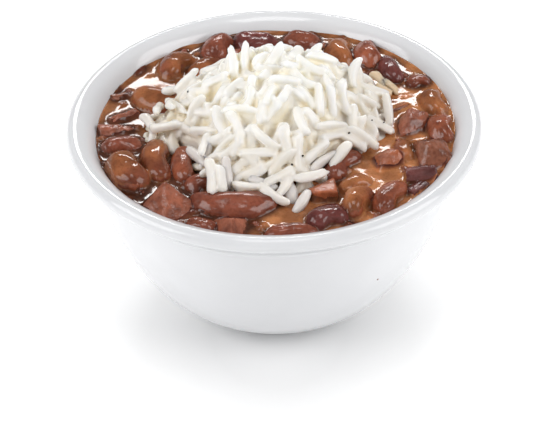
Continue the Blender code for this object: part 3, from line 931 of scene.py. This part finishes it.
def grain_rings(rows, seed, count=10, around=10):
    """Long grains, each a tapered rod with blunt ends, bent a little and slightly flat.

    The radius at s of the half length is (1 - |s|^p)^(1/2), where p differs from end to end and
    grain to grain; ripples of a tenth of its width run along it, and its ends are cut aslant.
    """
    chance = np.random.default_rng(seed)
    grains = len(rows)
    way, roll, half = rows[:, 3:6], rows[:, 6], rows[:, 7]

    def each(low, high):
        return chance.uniform(low, high, grains)[:, None, None]

    side = np.cross(way, np.array([0.0, 0.0, 1.0]))
    side /= np.linalg.norm(side, axis=1)[:, None]
    up = np.cross(side, way)
    t = (np.arange(count) + 0.35) / (count - 0.3) * np.pi
    s = np.cos(t)[None, :, None]
    blunt = np.where(s > 0, *chance.uniform(4.5, 14.0, (2, grains))[..., None, None])
    radius = (1 - np.abs(s) ** blunt) ** 0.5
    radius = radius * (1 - each(0.0, 0.22) * (s + 1) / 2)
    turn = full_turn(around)
    ridge = 1 + 0.12 * np.cos(3 * turn + each(0, 6.3) + 0.8 * s)
    ridge = ridge + 0.10 * np.sin(4 * s + each(0, 6.3))
    width = GRAIN_WIDTH * each(0.78, 1.1) / 2
    thick = GRAIN_THICKNESS * each(0.88, 1.08) / 2
    a, b = np.cos(turn) * radius * ridge * width, np.sin(turn) * radius * ridge * thick
    curve = each(0.1, 0.75) * (1 - s**2 * 2)
    bend_a, bend_b = np.cos(roll)[:, None, None] * curve, 0.4 * np.sin(roll)[:, None, None] * curve
    slant = each(0, 0.16) * np.cos(turn + each(0, 6.3))
    u = (s + slant * s**8) * half[:, None, None]
    parts = ((u, way), (a + bend_a, side), (b + bend_b, up))
    local = sum(share[..., None] * axis[:, None, None] for share, axis in parts)
    ends = []
    for sign, ring in ((1, 0), (-1, -1)):
        tip = (sign * half)[:, None] * way + bend_a[:, ring] * side + bend_b[:, ring] * up
        ends.append(tip + rows[:, :3])
    return local + rows[:, None, None, :3], np.stack(ends, 1)


def clear_of_pieces(rows):
    """Which grains stay out of the beans and the meat: their middle and ends lie over them."""
    clear = np.ones(len(rows), bool)
    for side in (-0.85, 0.0, 0.85):
        x, y, z = (rows[:, :3] + side * rows[:, 7:] * rows[:, 3:6]).T
        over = sampled(piece_top, x, y)
        clear &= (over < gravy_level(x, y) + 0.6) | (over < z + 0.4)
    return clear


def heap_sampled(field, px, py):
    """The field of the heap's grid at each place."""
    return field[heap_cell(px), heap_cell(py)]


def spread_out(field, reach, slope):
    """The field with a skirt round every height, which falls by this slope."""
    cells = int(reach / HEAP_CELL)
    wide = field
    for i in range(-cells, cells + 1):
        for j in range(-cells, cells + 1):
            wide = np.maximum(wide, shifted(field, i, j) - slope * math.hypot(i, j) * HEAP_CELL)
    return wide


def heap_core(filling, tall):
    """The core: a polar grid over the filling, out to where the heap is tall, closed underneath."""
    angle = full_turn(300)
    reach = np.linspace(8.0, 42.0, 86)[:, None]
    inside = heap_sampled(tall, reach * np.cos(angle), reach * np.sin(angle))
    out = np.where(inside, reach, reach[0]).max(0)
    for _ in range(12):
        out = (np.roll(out, 1) + 2 * out + np.roll(out, -1)) / 4
    share = np.linspace(1.0, 0.01, 90)[:, None]
    x, y = share * out * np.cos(angle), share * out * np.sin(angle)
    base = stacked(x[0], y[0], HEAP_BASE)[None]
    rings = np.concatenate([base, stacked(x, y, heap_sampled(filling, x, y))])
    tips = np.array([[0.0, 0.0, HEAP_BASE], [0.0, 0.0, rings[-1, :, 2].mean()]])
    return closed_skins("rice_core", rings[None], tips[None])


def settled(made):
    """Gives an object the mesh that its modifiers make, and takes them off."""
    shown = made.evaluated_get(bpy.context.evaluated_depsgraph_get())
    made.data = bpy.data.meshes.new_from_object(shown)
    made.modifiers.clear()


def welded(name, parts, size, most):
    """One skin round the parts, which overlap, worked out on voxels of this size and smoothed.

    It is then thinned out to this many triangles, in its flatter places first.
    """
    both = bmesh.new()
    for part in parts:
        both.from_mesh(part.data)
    rough = bpy.data.meshes.new(name)
    both.to_mesh(rough)
    both.free()
    made = bpy.data.objects.new(name, rough)
    bpy.context.scene.collection.objects.link(made)
    weld = made.modifiers.new("weld", "REMESH")
    weld.mode = "VOXEL"
    weld.voxel_size = size * MM
    smooth = made.modifiers.new("smooth", "SMOOTH")
    smooth.factor, smooth.iterations = 0.5, 1
    settled(made)
    fewer = made.modifiers.new("fewer", "DECIMATE")
    fewer.ratio = min(1.0, most / (2 * len(made.data.polygons)))
    settled(made)
    made.data.validate()
    made.data.shade_smooth()
    for part in parts:
        bpy.data.objects.remove(part)
    return made


outline = heap_outline()
heap_x, heap_y = plane(len(outline), HEAP_CELL, HEAP_SIDE)
ground = np.maximum(sampled(gravy_height, heap_x, heap_y), sampled(piece_top, heap_x, heap_y))
dry, soaked, stained = (laid_rows(table, seed) for seed, table in enumerate((DRY, SOAKED_SHADED, STAINED)))
flat = np.stack([heap_x, heap_y], -1)
rough_top = roughened(outline, flat, HEAP_LUMPS, 31) - HEAP_LUMPS[0][0]
top = np.where(outline > NOTHING / 10, rough_top, ground + LOW_GRAINS)
ceiling = under(np.concatenate([dry, soaked, stained]), spread_out(top, 4.0, HEAP_SLOPE))
dropped = pile(ceiling, outline, 5, 900)
grains = np.concatenate([dropped[clear_of_pieces(dropped)], dry])
cell_i, cell_j, grain_middle, grain_body = spread(grains)
tops = np.maximum(outline - HEAP_COVER, ground)
np.maximum.at(tops, (cell_i, cell_j), grain_middle + grain_body)
hollow = np.interp(outline, *zip(*STUCK_UNDER))
filling = np.maximum(softened(closed_over(tops, STUCK_GAP), 3) - hollow, ground - 0.5)

rings, tips = grain_rings(grains, 6)
loose = closed_skins("loose_grains", rings, tips)
core = heap_core(filling, outline - ground > CORE_FROM)
rice = welded("rice_grains", [loose, core], WELD, WELD_FACES)
points = np.empty(len(rice.data.vertices) * 3, np.float32)
rice.data.vertices.foreach_get("co", points)
x, y, z = (points.reshape(-1, 3).astype(float) / MM).T
# Painted shade: how deep each point lies under the tops of the grains, for the golden shade painted
# in its gaps.
buried = np.clip((heap_sampled(softened(tops, 40), x, y) + 0.4 - z) / 3.0, 0, 1)
# Greyer low down: partly from soaking in the gravy, partly painted shade on the lower grains.
low = SOAK_SHADE_MOST * np.clip(1 - (z - gravy_level(x, y)) / SOAK_SHADE_TO, 0, 1) ** 1.5
marked(rice, buried=buried, soaked=low)


def cooked_rice(name, share, stain_and_shade):
    """Boiled rice: white and translucent, with golden painted shade deep in its gaps, and greyer
    low down, partly as gravy soaks it and partly as painted shade.

    This share of its colour is that of the colour given last: brown where gravy stains it, or
    grey, partly from soaking and partly painted shade.
    """
    white = Shader(name)
    cream, snow = (0.91, 0.89, 0.835), (0.94, 0.93, 0.905)
    fresh = white.ramp(white.noise(5.0, 2.0), (0.35, cream), (0.65, snow))
    # Painted shade: grey and golden colours for the gaps, for the light that fades and scatters
    # deep in the heap.
    grey, gold = (0.88, 0.85, 0.78), (0.93, 0.82, 0.56)
    gap_shade = white.ramp(white.noise(7.0, 1.0), (0.40, grey), (0.60, gold))
    dry_rice = white.mix(white.mark("buried"), fresh, gap_shade)
    white.colour(white.mix(share, white.mix(white.mark("soaked"), dry_rice, SOAKED_SHADE_TINT), stain_and_shade))
    white.set(Roughness=0.20, IOR=1.45)
    white.glow(0.9, (1.0, 0.96, 0.86), 2.2)
    uneven = white.bump(white.noise(1.0, 2.5), 0.06)
    white.bump(white.noise(0.35, 1.0), 0.02, uneven)
    return white.material


rice.data.materials.append(cooked_rice("boiled_rice", 0.0, SOAKED_SHADE_TINT))
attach(rice, "root")
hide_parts("rice_mound")
# The greyed grains: partly from soaking, partly painted shade; the browned ones: stained by gravy.
greyed = ("soaked_grains", soaked, (0.70, 0.65, 0.62))
browned = ("stained_grains", stained, (0.68, 0.49, 0.30))
for seed, (name, rows, colour) in enumerate((greyed, browned)):
    rings, tips = grain_rings(rows, 60 + seed)
    few = closed_skins(name, rings, tips)
    few.data.materials.append(cooked_rice(name + "_finish", 0.85, colour))
    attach(few, "root")


# The specks. Coarse bits of ground black pepper that lie on the rice, and two tiny splashes of
# sauce that dried on the outside of the bowl.

# Where they lie, (x, y) and (x, y, z), also worked out by projection outside this script.
PEPPER = ((21.2, -10.8), (7.9, -21.4), (4.8, -23.5), (28.1, -3.1), (31.6, -2.6), (-24.7, 5.1))
SPLASHES = ((14.9, -48.2, 49.4), (28.3, -40.5, 30.3))


def specks(name, places, radius, colour):
    """Uneven specks of about this radius: balls whose radius smooth waves change by up to half."""
    middles = np.array(places)[:, None, None]
    ball = ball_rings(7, 10)[None]
    ball = ball * (1 + 0.5 * waves(ball * radius + middles, 1.5, 90)[..., None])
    made = closed_skins(name, ball * radius + middles)
    made.data.materials.append(wet_skin(name + "_finish", colour, patchy=0.3, glow=0.0))
    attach(made, "root")


on_rice = np.array(PEPPER)
on_rice = np.column_stack([on_rice, heap_sampled(tops, *on_rice.T)])
specks("pepper", on_rice, 0.32, (0.03, 0.022, 0.018))
specks("sauce_splashes", SPLASHES, 0.3, (0.52, 0.36, 0.32))


# The table and the light. A white table that glows a little away from the bowl, three narrow soft
# boxes low behind the bowl, one at each side in front and a broad weak one above.

TABLE_GLOW = 0.30
GLOW_FROM, GLOW_TO = 30.0, 90.0  # it grows between these distances from the foot of the bowl
GLOW_WIDER = 1.45  # how many times faster it does so to the sides

bpy.ops.mesh.primitive_plane_add(size=6.0)
table = bpy.context.object
table.name = "table"
paper = Shader("white_table")
paper.set(Base_Color=(0.92, 0.92, 0.92, 1.0), Roughness=0.9, Emission_Color=(1.0, 1.0, 1.0, 1.0))
paper.set(Specular_IOR_Level=0.0)
round_foot = paper.node("Mapping", Location=(0.0, 22.0 * MM, 0.0), Scale=(GLOW_WIDER, 1.0, 1.0))
away = paper.node("VectorMath", {"operation": "LENGTH"})
glow = paper.node("MapRange", From_Min=GLOW_FROM * MM, From_Max=GLOW_TO * MM, To_Max=TABLE_GLOW)
paper.link(paper.node("TexCoord").outputs["Object"], round_foot.inputs["Vector"])
paper.link(round_foot.outputs["Vector"], away.inputs[0])
paper.link(away.outputs["Value"], glow.inputs["Value"])
paper.link(glow.outputs["Result"], paper.surface.inputs["Emission Strength"])
table.data.materials.append(paper.material)


def soft_box(name, place, target, width, height, radiance):
    """A flat soft light of this radiance that faces a target. Places and sizes are in metres."""
    lamp = bpy.data.lights.new(name, "AREA")
    lamp.shape = "RECTANGLE"
    lamp.size, lamp.size_y = width, height
    lamp.energy = radiance * math.pi * width * height
    holder = bpy.data.objects.new(name, lamp)
    bpy.context.scene.collection.objects.link(holder)
    holder.location = place
    holder.rotation_euler = (Vector(target) - Vector(place)).to_track_quat("-Z", "Y").to_euler()


for name, x, z, width, height in (
    ("behind", 0.125, 1.085, 0.55, 0.15),
    ("behind_left", -0.275, 1.16, 0.25, 0.30),
    ("behind_right", 0.16, 0.97, 0.16, 0.16),
):
    soft_box(name, (x, 1.5, z), (x, 0, z), width, height, 18.0)
bowl_middle = (0, 0, 0.05)
soft_box("left", (-1.42, -0.45, 0.95), bowl_middle, 1.2, 1.2, 4.05)
soft_box("right", (1.42, -0.45, 0.95), bowl_middle, 1.2, 1.2, 4.05)
soft_box("above", (0, -0.1, 1.6), bowl_middle, 0.55, 0.55, 4.3)
world = bpy.data.worlds.new("room")
world.use_nodes = True
world.node_tree.nodes["Background"].inputs["Color"].default_value = (1, 1, 1, 1)
world.node_tree.nodes["Background"].inputs["Strength"].default_value = 0.22
bpy.context.scene.world = world
bpy.context.scene.view_settings.view_transform = "Standard"


# The camera. A long lens at the height of someone who sits down to eat, which looks down into the
# bowl and is turned very slightly.

CAMERA_DISTANCE = 600.0  # from the middle of the lip
CAMERA_RISE = math.radians(34.39)
CAMERA_ROLL = -0.020  # radians
LOOKS_AT = (-0.32, 0.0, LIP_HEIGHT - 35.28)
FOCAL_LENGTH = 135.6
camera_at = Vector((0, -math.cos(CAMERA_RISE), math.sin(CAMERA_RISE))) * CAMERA_DISTANCE
camera_at.z += LIP_HEIGHT
forward = (Vector(LOOKS_AT) - camera_at).normalized()
right = forward.cross(Vector((0, 0, 1))).normalized()
up = right.cross(forward)
rolled_right = math.cos(CAMERA_ROLL) * right + math.sin(CAMERA_ROLL) * up
rolled_up = math.cos(CAMERA_ROLL) * up - math.sin(CAMERA_ROLL) * right
lens = bpy.data.cameras.new("camera")
lens.sensor_width = 36.0
lens.lens = FOCAL_LENGTH
lens.clip_start = 0.01
camera = bpy.data.objects.new("camera", lens)
bpy.context.scene.collection.objects.link(camera)
turn = Matrix((rolled_right, rolled_up, -forward)).transposed().to_4x4()
camera.matrix_world = Matrix.Translation(camera_at * MM) @ turn
bpy.context.scene.camera = camera
